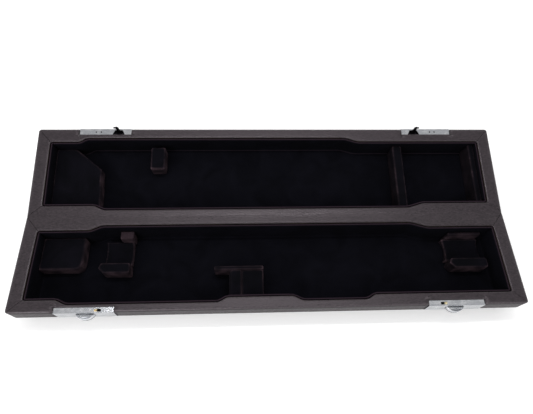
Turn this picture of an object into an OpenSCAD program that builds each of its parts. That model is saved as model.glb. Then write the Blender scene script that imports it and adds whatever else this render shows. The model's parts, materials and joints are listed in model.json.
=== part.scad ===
// Slim hard case for a three-piece flute, hinged along one long side.
// Millimetres, +Z up. The base stands on the table, the lid lies open behind it.
// Origin: centre of the base's flat bottom face. +X runs along the case.

/* [Case] */
// Overall length of the case
case_l = 420; // [400:1:440]
// Depth of each half, from hinge line to front edge
case_w = 83; // [80:0.5:88]
// Outside height of the base
base_h = 27.4; // [26.4:0.2:30]
// How far the open lid is tipped up from level
lid_tilt = 10.1; // [6:0.1:14]
// Radius of the bottom edges at the front and ends
edge_r = 13; // [11:0.5:14]
// Radius of the bottom edges at the hinge side
hinge_edge_r = 6; // [4:0.5:8]
// Radius of the upright corners
corner_r = 2.4; // [1.5:0.1:3]

/* [Covering and lining] */
// Thickness of the leatherette
skin_t = 0.6; // [0.4:0.1:0.8]
// Thickness of the plush lining on the walls
plush_wall_t = 1.4; // [1:0.1:1.8]
// Thickness of the plush lining on the floor
plush_floor_t = 0.8; // [0.6:0.1:1]
// Air gap between a rail and the wall lining
plush_gap = 0.6; // [0.4:0.1:0.8]
// Depth from the rim to the base's plush floor
base_floor = 24; // [23:0.5:24.5]
// Depth from the rim to the lid's plush floor
lid_floor = 23; // [22:0.5:24]

/* [Rims] */
// Width of the rim at both ends
end_rim = 11.4; // [10:0.1:13]
// Width of the base's front rim where it is full
base_front_rim = 10; // [9.5:0.1:12]
// Width of the base's front rim where it is cut back
base_front_thin = 6; // [6:0.1:7]
// Width of the base's hinge rim where it is full
base_hinge_rim = 13; // [11:0.1:14]
// Width of the base's hinge rim where it is cut back
base_hinge_thin = 8.6; // [8:0.1:10]
// Width of the lid's far rim where it is full
lid_front_rim = 12.5; // [11:0.1:13]
// Width of the lid's far rim where it is cut back
lid_front_thin = 8.8; // [7:0.1:9.5]
// Width of the lid's hinge rim where it is full
lid_hinge_rim = 9.5; // [8.5:0.1:11]
// Width of the lid's hinge rim where it is cut back
lid_hinge_thin = 5.5; // [5:0.1:7]

/* [Latches] */
// Length of each latch housing
latch_l = 47.2; // [47:0.1:48]
// Distance from the end of the case to the near end of a housing
latch_inset = 36.4; // [34:0.2:40]
// Height of the housings
latch_h = 13; // [12:0.5:14]
// How far the housings stand proud of the covering
latch_proud = 0.6; // [0.3:0.1:1]
// How far a slider travels to let the hook go
slide_travel = 4; // [3:0.1:4]
// Height of a hook above the lid's rim
hook_h = 7.2; // [6.6:0.1:7.4]

/* [Hidden] */
$fn = 48;

half_l = case_l / 2;
// The rims lie a little below the hinge plane, so that the closed halves clear each other
rim_clear = 0.15;
rim_top = -rim_clear;
// Height of the lid for which its hinge-side edge just reaches the table when it lies open
lid_h = hinge_edge_r + (base_h + hinge_edge_r * (sin(lid_tilt) - 1)) / cos(lid_tilt);
// Wood starts under the rim's leatherette
wood_top = rim_top - skin_t;
// The wall lining stands this far from the rail's inner face
lining_in = plush_gap + plush_wall_t;
lining_drop = 0.9;
block_gap = 0.2;
big = 2 * case_l;

latch_x0 = half_l - latch_inset - latch_l;
latch_x1 = half_l - latch_inset;
base_notch_v = case_w - 4;
lid_notch_v = case_w - 5.3;
housing_drop = 1.3;
housing_wall = 0.6;
housing_gap = 0.15;

wood_c = [0.62, 0.47, 0.32];
leather_c = [0.28, 0.25, 0.26];
plush_c = [0.10, 0.08, 0.11];
nickel_c = [0.74, 0.74, 0.75];
brass_c = [0.72, 0.55, 0.25];
steel_c = [0.22, 0.22, 0.24];

// ---------- frames of the two halves ----------
// Both halves are drawn the same way: X along the case, +Y away from the hinge line,
// Z = 0 at the hinge plane and negative into the half.
module on_base() {
  translate([0, case_w / 2, base_h]) mirror([0, 1, 0]) children();
}

module on_lid() {
  translate([0, case_w / 2, base_h]) rotate([lid_tilt, 0, 0]) children();
}

// ---------- outlines ----------
// Inner outline of the base's rim, anticlockwise from the left end of the hinge side
function base_outline() =
  let (x = half_l - end_rim, h = base_hinge_rim, t = base_hinge_thin,
       f = case_w - base_front_rim, g = case_w - base_front_thin)
  [[-x, h], [-155, h], [-145.5, t], [124.5, t], [138.8, h], [x, h],
   [x, f], [83.2, f], [77.1, g], [23.7, g], [15.8, f],
   [-37.6, f], [-44.4, g], [-164.9, g], [-172.9, f], [-x, f]];

// Inner outline of the lid's rim
function lid_outline() =
  let (x = half_l - end_rim, h = lid_hinge_rim, t = lid_hinge_thin,
       f = case_w - lid_front_rim, g = case_w - lid_front_thin)
  [[-x, h], [-154.2, h], [-145.8, t], [124.9, t], [138.4, h], [x, h],
   [x, f], [83.8, f], [72.1, g], [-166.9, g], [-172, f], [-x, f]];

// The outline moved inwards by d, each corner along its own mitre
function edge_normal(a, b) = let (d = (b - a) / norm(b - a)) [-d[1], d[0]];
function inset(pts, d) =
  let (n = len(pts))
  [for (i = [0 : n - 1])
    let (before = edge_normal(pts[(i + n - 1) % n], pts[i]),
         after = edge_normal(pts[i], pts[(i + 1) % n]))
    pts[i] + d * (before + after) / (1 + before * after)];

// ---------- shared bodies ----------
// A prism between two heights
module slab(pts, z0, z1) {
  translate([0, 0, z0]) linear_extrude(z1 - z0) polygon(pts);
}

module block(x0, x1, v0, v1, z0, z1) {
  translate([x0, v0, z0]) cube([x1 - x0, v1 - v0, z1 - z0]);
}

// Outside of one half, shrunk by d: rounded long edges, rounded ends, upright corners
module long_profile(h, d, top) {
  x = half_l - d;
  e = edge_r - d;
  difference() {
    translate([-x, -h + d]) square([2 * x, h - d + top]);
    for (s = [-1, 1])
      translate([s * (half_l - edge_r), -h + edge_r]) difference() {
        translate([s > 0 ? 0 : -edge_r, -edge_r]) square(edge_r);
        circle(e, $fn = 96);
      }
  }
}

module cross_profile(h, d, top) {
  difference() {
    translate([d, -h + d]) square([case_w - 2 * d, h - d + top]);
    translate([case_w - edge_r, -h + edge_r]) difference() {
      translate([0, -edge_r]) square(edge_r);
      circle(edge_r - d, $fn = 96);
    }
    translate([hinge_edge_r, -h + hinge_edge_r]) difference() {
      translate([-hinge_edge_r, -hinge_edge_r]) square(hinge_edge_r);
      circle(hinge_edge_r - d, $fn = 96);
    }
  }
}

module plan_profile(d) {
  x = half_l - d;
  c = corner_r - d;
  difference() {
    translate([-x, d]) square([2 * x, case_w - 2 * d]);
    for (s = [-1, 1])
      translate([s * (half_l - corner_r), case_w - corner_r]) difference() {
        translate([s > 0 ? 0 : -corner_r, 0]) square(corner_r);
        circle(c);
      }
  }
}

module half_body(h, d, top = 0) {
  intersection() {
    translate([0, case_w + 1, 0]) rotate([90, 0, 0])
      linear_extrude(case_w + 2) long_profile(h, d, top);
    translate([-half_l - 1, 0, 0]) rotate([90, 0, 90])
      linear_extrude(case_l + 2) cross_profile(h, d, top);
    translate([0, 0, -h - 1]) linear_extrude(h + 2) plan_profile(d);
  }
}

// Plan zones of the covering, mitred at the corners
module zone(side, z0, z1) {
  x = half_l - edge_r;
  v0 = hinge_edge_r;
  v1 = case_w - edge_r;
  o = half_l + 5;
  front = [[-o, case_w + 5], [-x, v1], [x, v1], [o, case_w + 5]];
  spine = [[-x, v0], [-half_l, 0], [-half_l, -1], [half_l, -1], [half_l, 0], [x, v0]];
  right = [[x, v0], [half_l, 0], [o, 0], [o, case_w + 5], [x, v1]];
  left = [for (p = right) [-p[0], p[1]]];
  mid = [[-x, v0], [x, v0], [x, v1], [-x, v1]];
  slab(side == "front" ? front : side == "spine" ? spine : side == "right" ? right
    : side == "left" ? left : mid, z0, z1);
}

// One leatherette strip of the outside covering
module cover(h, side, notch_v) {
  intersection() {
    difference() {
      half_body(h, 0, rim_top);
      half_body(h, skin_t, rim_top + 1);
      if (side == "front") latch_notches(notch_v);
    }
    zone(side, -h - 1, 1);
  }
}

module latch_notches(notch_v) {
  for (s = [-1, 1])
    block(s > 0 ? latch_x0 : -latch_x1, s > 0 ? latch_x1 : -latch_x0, notch_v, case_w + 2,
      -latch_h - housing_drop, 1);
}

// Mitred leatherette strips on top of the rim
module rim_strip(h, outline, side, notch_v) {
  o = outline[0];
  f = outline[len(outline) - 1];
  x = half_l;
  front = [[-x, case_w], [o[0], f[1]], [0, f[1] - 2], [-o[0], f[1]], [x, case_w]];
  spine = [[-x, 0], [x, 0], [-o[0], o[1]], [0, o[1] + 2], [o[0], o[1]]];
  right = [[-o[0], o[1]], [x, 0], [x, case_w], [-o[0], f[1]]];
  left = [for (p = right) [-p[0], p[1]]];
  difference() {
    intersection() {
      translate([0, 0, wood_top]) linear_extrude(skin_t) plan_profile(skin_t);
      slab(side == "front" ? front : side == "spine" ? spine : side == "right" ? right : left,
        -h, 0);
    }
    slab(outline, -h, 1);
    if (side == "front") latch_notches(notch_v);
  }
}

// Wooden frame: long rails run right through, end blocks sit between them
module frame_piece(h, floor_z, outline, side, notch_v) {
  o = outline[0];
  f = outline[len(outline) - 1];
  difference() {
    half_body(h, skin_t, wood_top);
    slab(outline, -h, 1);
    block(-big, big, -1, case_w + 1, -h, floor_z);
    if (side == "front") {
      block(-big, big, -1, f[1], -h, 1);
      latch_notches(notch_v);
    }
    if (side == "spine") block(-big, big, o[1], case_w + 1, -h, 1);
    if (side == "left" || side == "right") {
      block(-big, big, -1, o[1], -h, 1);
      block(-big, big, f[1], case_w + 1, -h, 1);
      block(side == "left" ? 0 : -big, side == "left" ? big : 0, -1, case_w + 1, -h, 1);
    }
  }
}

module panel(h, floor_z) {
  difference() {
    half_body(h, skin_t, wood_top);
    block(-big, big, -1, case_w + 1, floor_z, 1);
  }
}

module wall_lining(outline, floor_z) {
  difference() {
    slab(inset(outline, plush_gap), floor_z, rim_top - lining_drop);
    slab(inset(outline, lining_in), floor_z - 1, 1);
  }
}

module floor_lining(outline, floor_z) {
  slab(inset(outline, plush_gap), floor_z - plush_floor_t, floor_z);
}

// ---------- base: wood, covering, lining ----------
base_wood_floor = -base_floor - plush_floor_t;
lid_wood_floor = -lid_floor - plush_floor_t;

module base_frame(side) {
  color(wood_c) on_base() frame_piece(base_h, base_wood_floor, base_outline(), side, base_notch_v);
}
module base_front_rail() base_frame("front");
module base_rear_rail() base_frame("spine");
module base_left_end() base_frame("left");
module base_right_end() base_frame("right");
module base_bottom_panel() color(wood_c) on_base() panel(base_h, base_wood_floor);

module base_cover(side) color(leather_c) on_base() cover(base_h, side, base_notch_v);
module base_cover_front() base_cover("front");
module base_cover_spine() base_cover("spine");
module base_cover_left() base_cover("left");
module base_cover_right() base_cover("right");
module base_cover_bottom() base_cover("bottom");

module base_rim(side) color(leather_c) on_base() rim_strip(base_h, base_outline(), side, base_notch_v);
module base_rim_front() base_rim("front");
module base_rim_left() base_rim("left");
module base_rim_right() base_rim("right");
module base_hinge_strip() base_rim("spine");

module base_wall_lining() color(plush_c) on_base() wall_lining(base_outline(), -base_floor);
module base_floor_lining() color(plush_c) on_base() floor_lining(base_outline(), -base_floor);

// ---------- base: cradles and divider ----------
rest_top = -8.7;
front_rest_top = -9.6;
saddle_top = -base_floor + 7;
rear_wall_thin = base_hinge_thin + lining_in + block_gap;
rear_wall_full = base_hinge_rim + lining_in + block_gap;
front_wall_full = case_w - base_front_rim - lining_in - block_gap;
end_wall = half_l - end_rim - lining_in - block_gap;

// A rest with both upper ends cut off at 45 degrees in plan
module front_rest(x0, x1, chamfer_l, chamfer_r) {
  v0 = 39.5;
  v1 = 48.3;
  slab([[x0 + chamfer_l / 2, v0], [x1 - chamfer_r / 2, v0], [x1, v0 + chamfer_r],
    [x1, v1 - chamfer_r / 2], [x1 - chamfer_r / 2, v1], [x0 + chamfer_l, v1], [x0, v0 + chamfer_l]],
    -base_floor, front_rest_top);
}

// A low pad with a hollow along X for the joint's tube to lie in
module saddle(x0, x1, v0, v1) {
  dip_r = 16;
  difference() {
    block(x0, x1, v0, v1, -base_floor, saddle_top);
    translate([x0 - 1, (v0 + v1) / 2, saddle_top + dip_r - 3.5]) rotate([0, 90, 0])
      cylinder(r = dip_r, h = x1 - x0 + 2, $fn = 96);
  }
}

module left_platform() {
  color(plush_c) on_base() {
    front_r = 6;
    x1 = -160.8;
    v1 = 44;
    top = -11.5;
    block(-end_wall, x1 - front_r, rear_wall_full, v1, -base_floor, top);
    block(-end_wall, x1, rear_wall_full, v1 - front_r, -base_floor, top);
    translate([x1 - front_r, v1 - front_r, -base_floor]) cylinder(r = front_r, h = base_floor + top);
  }
}

module rest_rear_left() {
  color(plush_c) on_base() block(-131, -119.8, rear_wall_thin, 18, -base_floor, rest_top);
}
module rest_front_left() color(plush_c) on_base() front_rest(-146.7, -120.6, 4.2, 0.9);
module saddle_left() color(plush_c) on_base() saddle(-144, -120.6, 18.2, 39.3);

module rest_rear_right() {
  color(plush_c) on_base() block(159.6, 189.6, rear_wall_full, 18.2, -base_floor, rest_top);
}
module rest_front_right() color(plush_c) on_base() front_rest(156.2, 190, 4.2, 2);

// The right saddle's left edge is a hollow arc
module saddle_right() {
  color(plush_c) on_base() difference() {
    saddle(154, 189.6, 18.4, 39.3);
    translate([137.5, 28.8, -base_floor - 1]) cylinder(r = 21, h = 30, $fn = 96);
  }
}

divider_bar_front = 47.6;
module divider_bar() color(plush_c) on_base() block(-49.4, -7.4, 44.2, divider_bar_front, -base_floor, -8);

// The left post is narrower and has a round-cornered rear end
module divider_post_left() {
  color(plush_c) on_base() difference() {
    block(-36.6, -25.9, divider_bar_front, front_wall_full, -base_floor, -8.8);
    translate([-36.6, divider_bar_front, -8.8]) rotate([-90, 0, 0])
      difference() {
        translate([-1, -1, -1]) cube([4, 4, 30]);
        translate([3, 3, -2]) cylinder(r = 3, h = 32);
      }
  }
}

module divider_post_right() {
  color(plush_c) on_base() block(-25.8, -7.8, divider_bar_front, front_wall_full, -base_floor, -9.8);
}

// ---------- latches ----------
// Drawn for the right-hand side and mirrored for the left
module pair_side(side) {
  if (side == "left") mirror([1, 0, 0]) children();
  else children();
}

latch_top = -housing_drop;
latch_bottom = latch_top - latch_h;
housing_v0 = base_notch_v;
housing_v1 = case_w + latch_proud;
cavity_v0 = housing_v0 + housing_wall;
cavity_v1 = housing_v1 - housing_wall;
// The hook's slot in the top plate
slot_x0 = latch_x0 + 10.2;
slot_x1 = slot_x0 + 5.3;
slot_v0 = 80.4;
slot_v1 = 82.5;
// Thumb slider at rest
knob_x0 = latch_x0 + 16.2;
knob_w = 14.6;
knob_mid = knob_x0 + knob_w / 2;
neck_w = 7;
neck_h = 3;
knob_h = 5.4;
knob_out = 4;
knob_z = latch_top - 6.4;
bolt_x1 = knob_mid + 12;
bolt_top = latch_top - housing_wall - 0.2;
bolt_t = 2.6;
bolt_nose_x0 = slot_x1 - 1.9;
bolt_side = 0.2;
slider_gap = 0.2;

module latch_housing(side) {
  color(nickel_c) on_base() pair_side(side) difference() {
    block(latch_x0 + housing_gap, latch_x1 - housing_gap, housing_v0, housing_v1, latch_bottom, latch_top);
    block(latch_x0 + housing_gap + housing_wall, latch_x1 - housing_gap - housing_wall,
      cavity_v0, cavity_v1, latch_bottom + housing_wall, latch_top - housing_wall);
    block(slot_x0, slot_x1, slot_v0, slot_v1, latch_bottom + housing_wall + 1, latch_top + 1);
    // slot in the front face for the slider's neck
    block(knob_mid - neck_w / 2 - slider_gap, knob_mid + neck_w / 2 + slide_travel + slider_gap,
      cavity_v1 - 0.5, housing_v1 + 1, knob_z - neck_h / 2 - slider_gap, knob_z + neck_h / 2 + slider_gap);
    for (x = rivet_xs) translate([x, housing_v0 - 1, rivet_z]) rotate([-90, 0, 0])
      cylinder(r = rivet_r, h = housing_wall + 2);
  }
}
module latch_housing_left() latch_housing("left");
module latch_housing_right() latch_housing("right");

rivet_r = 1;
rivet_head_r = 1.8;
rivet_head_t = 0.5;
rivet_z = latch_bottom + 2.6;
rivet_xs = [latch_x0 + 4.5, latch_x1 - 4.5];
rivet_reach = 2;

// Rivets from inside a housing through its back wall into the rail
module rivet_row(v, tip) {
  for (x = rivet_xs) translate([x, v, rivet_z]) rotate([90, 0, 0]) {
    cylinder(r = rivet_r, h = tip);
    translate([0, 0, -rivet_head_t]) cylinder(r = rivet_head_r, h = rivet_head_t);
  }
}

module latch_rivets() {
  color(steel_c) on_base() for (side = ["left", "right"]) pair_side(side) rivet_row(cavity_v0, housing_wall);
}

// D-shaped thumb piece, its neck through the front slot
module thumb_slider(side) {
  bulge_r = ((knob_w / 2) * (knob_w / 2) + knob_out * knob_out) / (2 * knob_out);
  face_v = housing_v1 + slider_gap;
  color(nickel_c) on_base() pair_side(side) {
    intersection() {
      translate([knob_mid, face_v + knob_out - bulge_r, knob_z - knob_h / 2])
        cylinder(r = bulge_r, h = knob_h, $fn = 96);
      block(knob_x0 - 1, knob_x0 + knob_w + 1, face_v, face_v + knob_out + 1,
        knob_z - knob_h, knob_z + knob_h);
    }
    block(knob_mid - neck_w / 2, knob_mid + neck_w / 2, cavity_v1 - bolt_side, face_v,
      knob_z - neck_h / 2, knob_z + neck_h / 2);
  }
}
module thumb_slider_left() thumb_slider("left");
module thumb_slider_right() thumb_slider("right");

// Sliding bolt: a bar under the top plate, a nose in the hook's slot and a lug down to the neck
module latch_bolt(side) {
  v0 = cavity_v0 + bolt_side;
  v1 = cavity_v1 - bolt_side;
  color(brass_c) on_base() pair_side(side) {
    block(bolt_nose_x0, bolt_x1, v0, v1, bolt_top - bolt_t, bolt_top);
    block(knob_mid - neck_w / 2, knob_mid + neck_w / 2, v0, v1, knob_z - neck_h / 2, bolt_top - bolt_t);
  }
}
module latch_bolt_left() latch_bolt("left");
module latch_bolt_right() latch_bolt("right");

spring_r = 1.1;
spring_wire_r = 0.22;
spring_turns = 7;
spring_sides = 5;
spring_steps = 10;
spring_x0 = bolt_x1;
spring_x1 = latch_x1 - housing_gap - housing_wall;

// A coil swept as one skin: rings of points along a helix
module bolt_spring(side) {
  n = spring_turns * spring_steps;
  run = spring_x1 - spring_x0 - 2 * spring_wire_r;
  points = [for (i = [0 : n], k = [0 : spring_sides - 1])
    let (turn = 360 * i / spring_steps, a = 360 * k / spring_sides,
         r = spring_r + spring_wire_r * cos(a))
    [spring_x0 + spring_wire_r + run * i / n + spring_wire_r * sin(a), r * cos(turn), r * sin(turn)]];
  sides = [for (i = [0 : n - 1], k = [0 : spring_sides - 1], half = [0, 1])
    let (a = i * spring_sides + k, b = i * spring_sides + (k + 1) % spring_sides)
    half == 0 ? [a, b, b + spring_sides] : [a, b + spring_sides, a + spring_sides]];
  ends = [[for (k = [spring_sides - 1 : -1 : 0]) k],
    [for (k = [0 : spring_sides - 1]) n * spring_sides + k]];
  color(steel_c) on_base() pair_side(side)
    translate([0, (cavity_v0 + cavity_v1) / 2, bolt_top - bolt_t / 2])
      polyhedron(points, concat(sides, ends));
}
module bolt_spring_left() bolt_spring("left");
module bolt_spring_right() bolt_spring("right");

// ---------- lid: wood, covering, lining ----------
module lid_frame(side) {
  color(wood_c) on_lid() frame_piece(lid_h, lid_wood_floor, lid_outline(), side, lid_notch_v);
}
module lid_front_rail() lid_frame("front");
module lid_rear_rail() lid_frame("spine");
module lid_left_end() lid_frame("left");
module lid_right_end() lid_frame("right");
module lid_top_panel() color(wood_c) on_lid() panel(lid_h, lid_wood_floor);

module lid_cover(side) color(leather_c) on_lid() cover(lid_h, side, lid_notch_v);
module lid_cover_front() lid_cover("front");
module lid_cover_spine() lid_cover("spine");
module lid_cover_left() lid_cover("left");
module lid_cover_right() lid_cover("right");
module lid_cover_top() lid_cover("top");

module lid_rim(side) color(leather_c) on_lid() rim_strip(lid_h, lid_outline(), side, lid_notch_v);
module lid_rim_front() lid_rim("front");
module lid_rim_left() lid_rim("left");
module lid_rim_right() lid_rim("right");
module lid_hinge_strip() lid_rim("spine");

module lid_wall_lining() color(plush_c) on_lid() wall_lining(lid_outline(), -lid_floor);
module lid_floor_lining() color(plush_c) on_lid() floor_lining(lid_outline(), -lid_floor);

// ---------- lid: pads ----------
lid_rear_full = lid_hinge_rim + lining_in + block_gap;
lid_rear_thin = lid_hinge_thin + lining_in + block_gap;
lid_front_full = case_w - lid_front_rim - lining_in - block_gap;

// Raised block in the left corner, its free corner cut off
module lid_corner_block() {
  x1 = -152.8;
  color(plush_c) on_lid()
    slab([[-end_wall, lid_rear_full], [x1, lid_rear_full], [x1 - 1.4, 47.5], [-179, lid_front_full],
      [-end_wall, lid_front_full]], -lid_floor, -11.5);
}

module pressure_pad() color(plush_c) on_lid() block(-109.4, -96.2, 46.8, 68.3, -lid_floor, -8.4);

module cross_bar() {
  color(plush_c) on_lid() block(118, 126.8, lid_rear_thin, lid_front_full, -lid_floor, -6.5);
}

module lid_end_pad() {
  color(plush_c) on_lid() block(191, end_wall, lid_rear_full, lid_front_full, -lid_floor, -5);
}

// ---------- lid: catches ----------
catch_floor = latch_top - 2.4;
catch_open_v = 82.4;
catch_open_w = 12.4;
hook_t = 1;
hook_v0 = 80.8;
hook_stem_x0 = slot_x0 + 0.35;
hook_stem_w = 2.6;
barb_w = 2;
barb_drop = 2;
hook_foot_w = 5.6;
hook_mid = hook_stem_x0 + hook_stem_w / 2;
mark_r = 0.7;

// The top plate is cut away round the hook: wide at the rim, narrow where the hook stands
module catch_housing(side) {
  hook_room = 0.7;
  color(nickel_c) on_lid() pair_side(side) difference() {
    block(latch_x0 + housing_gap, latch_x1 - housing_gap, lid_notch_v, housing_v1, latch_bottom, latch_top);
    slab([[hook_mid - catch_open_w / 2, lid_notch_v - 1], [hook_mid + catch_open_w / 2, lid_notch_v - 1],
      [hook_mid + hook_foot_w / 2 + hook_room, catch_open_v],
      [hook_mid - hook_foot_w / 2 - hook_room, catch_open_v]], catch_floor, 1);
    for (x = [latch_x1 - 19.5, latch_x1 - 15]) translate([x, 80.6, latch_top - 0.4])
      cylinder(r = mark_r, h = 2);
    for (x = rivet_xs) translate([x, lid_notch_v - 1, rivet_z]) rotate([-90, 0, 0])
      cylinder(r = rivet_r, h = housing_v1 - lid_notch_v - 1);
  }
}
module catch_housing_left() catch_housing("left");
module catch_housing_right() catch_housing("right");

// Hook plate: a wide foot, a stem and a barb that points to the near end of the case
module hook(side) {
  s0 = hook_stem_x0;
  s1 = s0 + hook_stem_w;
  color(steel_c) on_lid() pair_side(side)
    translate([0, hook_v0 + hook_t, 0]) rotate([90, 0, 0]) linear_extrude(hook_t) polygon([
      [hook_mid - hook_foot_w / 2, catch_floor], [hook_mid + hook_foot_w / 2, catch_floor],
      [s1 + 0.5, 0], [s1, 1.8],
      [s1, hook_h - barb_drop], [s1 + barb_w, hook_h - barb_drop + 0.2],
      [s1 + barb_w - 0.3, hook_h - barb_drop + 0.9], [s0 + 1, hook_h], [s0, hook_h - 1.4],
      [s0, 1.8], [s0 - 0.5, 0]]);
}
module hook_left() hook("left");
module hook_right() hook("right");

module catch_rivets() {
  color(steel_c) on_lid() for (side = ["left", "right"]) pair_side(side)
    for (x = rivet_xs) translate([x, housing_v1 - 2, rivet_z]) rotate([90, 0, 0])
      cylinder(r = rivet_r, h = housing_v1 - 2 - lid_notch_v);
}

base_front_rail();
base_rear_rail();
base_left_end();
base_right_end();
base_bottom_panel();
base_cover_front();
base_cover_spine();
base_cover_left();
base_cover_right();
base_cover_bottom();
base_rim_front();
base_rim_left();
base_rim_right();
base_hinge_strip();
base_wall_lining();
base_floor_lining();
left_platform();
rest_rear_left();
rest_front_left();
saddle_left();
rest_rear_right();
rest_front_right();
saddle_right();
divider_bar();
divider_post_left();
divider_post_right();
latch_housing_left();
latch_housing_right();
latch_rivets();
thumb_slider_left();
thumb_slider_right();
latch_bolt_left();
latch_bolt_right();
bolt_spring_left();
bolt_spring_right();
lid_front_rail();
lid_rear_rail();
lid_left_end();
lid_right_end();
lid_top_panel();
lid_cover_front();
lid_cover_spine();
lid_cover_left();
lid_cover_right();
lid_cover_top();
lid_rim_front();
lid_rim_left();
lid_rim_right();
lid_hinge_strip();
lid_wall_lining();
lid_floor_lining();
lid_corner_block();
pressure_pad();
cross_bar();
lid_end_pad();
catch_housing_left();
catch_housing_right();
hook_left();
hook_right();
catch_rivets();
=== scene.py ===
# %% [markdown]
# # A leatherette flute case, lying open
#
# The case is two shallow trays of thin wood, covered in leatherette outside and
# plush inside, with two plated sliding latches. The wooden frame, the latches and
# the hinge come from the CAD model, which is loaded as a fixed frame. Here we make
# what a case maker does last: the covering, the plush, and the finish of the metal.

# %% Load the frame
import json
import math

import bmesh
import bpy
import numpy as np
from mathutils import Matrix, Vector, noise


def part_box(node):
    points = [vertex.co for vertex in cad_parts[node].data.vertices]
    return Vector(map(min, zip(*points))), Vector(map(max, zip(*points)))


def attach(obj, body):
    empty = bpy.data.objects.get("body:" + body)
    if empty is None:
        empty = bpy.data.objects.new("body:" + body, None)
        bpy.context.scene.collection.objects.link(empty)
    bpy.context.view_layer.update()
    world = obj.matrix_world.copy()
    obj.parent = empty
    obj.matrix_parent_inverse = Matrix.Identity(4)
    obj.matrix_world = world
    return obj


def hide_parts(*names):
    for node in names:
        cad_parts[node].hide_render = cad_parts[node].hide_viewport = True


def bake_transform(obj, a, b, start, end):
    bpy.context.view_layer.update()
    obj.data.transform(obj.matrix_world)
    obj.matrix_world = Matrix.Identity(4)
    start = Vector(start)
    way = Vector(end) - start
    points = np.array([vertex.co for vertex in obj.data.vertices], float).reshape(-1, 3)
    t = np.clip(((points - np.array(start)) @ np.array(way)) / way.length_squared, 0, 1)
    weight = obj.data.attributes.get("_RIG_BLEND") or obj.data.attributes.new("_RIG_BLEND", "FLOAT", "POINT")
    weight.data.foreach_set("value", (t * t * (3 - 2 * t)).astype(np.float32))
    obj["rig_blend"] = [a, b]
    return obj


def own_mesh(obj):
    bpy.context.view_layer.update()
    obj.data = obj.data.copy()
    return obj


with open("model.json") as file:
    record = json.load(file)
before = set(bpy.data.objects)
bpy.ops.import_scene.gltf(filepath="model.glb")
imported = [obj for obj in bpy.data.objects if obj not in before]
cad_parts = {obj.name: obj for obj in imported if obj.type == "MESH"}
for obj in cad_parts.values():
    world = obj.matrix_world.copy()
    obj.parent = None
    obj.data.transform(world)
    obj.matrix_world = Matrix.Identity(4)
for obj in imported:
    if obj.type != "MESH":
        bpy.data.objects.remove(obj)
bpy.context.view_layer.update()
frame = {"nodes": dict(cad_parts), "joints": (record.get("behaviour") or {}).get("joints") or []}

# %% [markdown]
# ## Two halves, one way of drawing
#
# The real trays are twins that meet at the hinge. Each could be modelled where it
# stands, but then every slope of the tipped lid would have to be worked out again.
# So both are drawn flat in their own frame, in millimetres: x along the case, v
# away from the hinge line, z up from the hinge plane. One function lays a point
# into the base, which lies in front of the hinge, and another into the lid, which
# is tipped up behind it. The hinge and its angle are read from the joint.

# %% Places of the two halves
MM = 0.001
hinge = next(j for j in frame["joints"] if j["name"] == "lid_hinge")
HINGE_Y, HINGE_Z = (c / MM for c in hinge["pos_m"][1:])
LID_TILT = math.radians(180 - hinge["range_deg"][1])


def box_mm(node):
    low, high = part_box(node)
    return low / MM, high / MM


def in_base(x, v, z):
    return (x * MM, (HINGE_Y - v) * MM, (HINGE_Z + z) * MM)


def in_lid(x, v, z):
    y = v * math.cos(LID_TILT) - z * math.sin(LID_TILT)
    up = v * math.sin(LID_TILT) + z * math.cos(LID_TILT)
    return (x * MM, (HINGE_Y + y) * MM, (HINGE_Z + up) * MM)


print("hinge line at y", HINGE_Y, "z", HINGE_Z, "lid tipped", round(math.degrees(LID_TILT), 1))

# %% [markdown]
# ## Sizes of the trays
#
# The rim is the flat leatherette border round each tray. It is narrower where the
# tray widens for the flute's tubes and wider where a rest or a latch needs wood.
# Its inner edge is a short list of corners, the same ones as in the CAD model, and
# the corners are rounded a little, as film over a wooden edge would be. A drawn
# curve would do as well, but a list of corners is easier to read and to change.

# %% Sizes of the case and its covering
HALF_L = box_mm("base_cover_spine")[1].x
CASE_W = HINGE_Y - box_mm("base_cover_front")[0].y
END_RIM = 11.4
INNER_L = HALF_L - END_RIM

# roundings: the bottom's edges, the same beside the hinge, the outer and inner corners
EDGE_R = 13.0
HINGE_EDGE_R = 6.0
CORNER_R = 2.4
INNER_CORNER_R = 2.2

# the film: its thickness, the height of the flat rim, and the groove under the rim's outer edge
SKIN = 0.45
RIM_Z = -0.15
GROOVE_TOP, GROOVE_BOTTOM = -1.12, -2.3
GROOVE_DEPTH = 0.5
WALL_SET_BACK = 0.12

# the places cut out of the front wall for the latches
LATCH_FROM = box_mm("latch_housing_right")[0].x - 0.15
LATCH_TO = box_mm("latch_housing_right")[1].x + 0.15
NOTCH_DEPTH = HINGE_Z - box_mm("latch_housing_right")[0].z
print("case", 2 * HALF_L, "by", CASE_W, "latches from", LATCH_FROM, "to", LATCH_TO)

# %% [markdown]
# Everything that differs between base and lid stands in one table, so that each
# piece below is written once and made twice. "rear" and "front" are the corners of
# the rim's inner edge as (x, v), beside the hinge and on the far side from it.

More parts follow.
